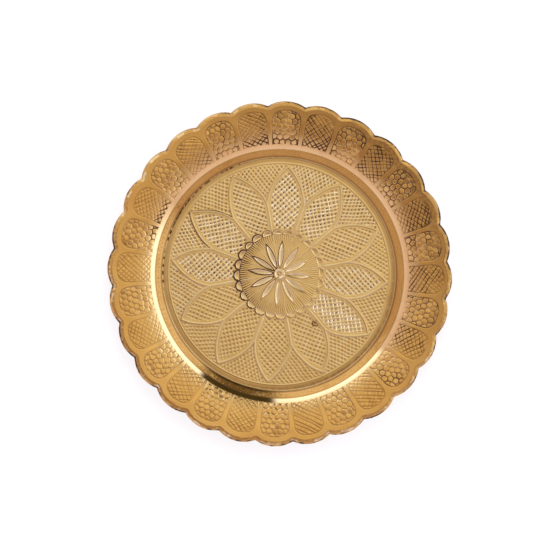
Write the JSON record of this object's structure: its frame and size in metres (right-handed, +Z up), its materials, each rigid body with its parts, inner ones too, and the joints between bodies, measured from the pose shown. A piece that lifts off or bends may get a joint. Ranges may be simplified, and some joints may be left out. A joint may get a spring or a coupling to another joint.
{
  "type": "round brass tray",
  "caption": "Round serving tray of chased brass: flat patterned well, sloping wall, flared rim with textured panels, and a lobed edge rolled over a wire.",
  "frame": {"origin": "centre of the flat underside that the tray rests on", "axes": "+Z up out of the tray's well; +X and +Y lie in the resting plane, with one large petal pointing 5.3 degrees off +Y"},
  "size_m": [0.2538, 0.2538, 0.0167],
  "materials": {
    "sheet_brass": "polished and chased, with dark patina in the grooves",
    "wire_brass": "plain drawn wire, unpolished"
  },
  "bodies": {
    "root": {"tray_sheet": "sheet_brass", "edge_wire": "wire_brass"}
  },
  "joints": []
}
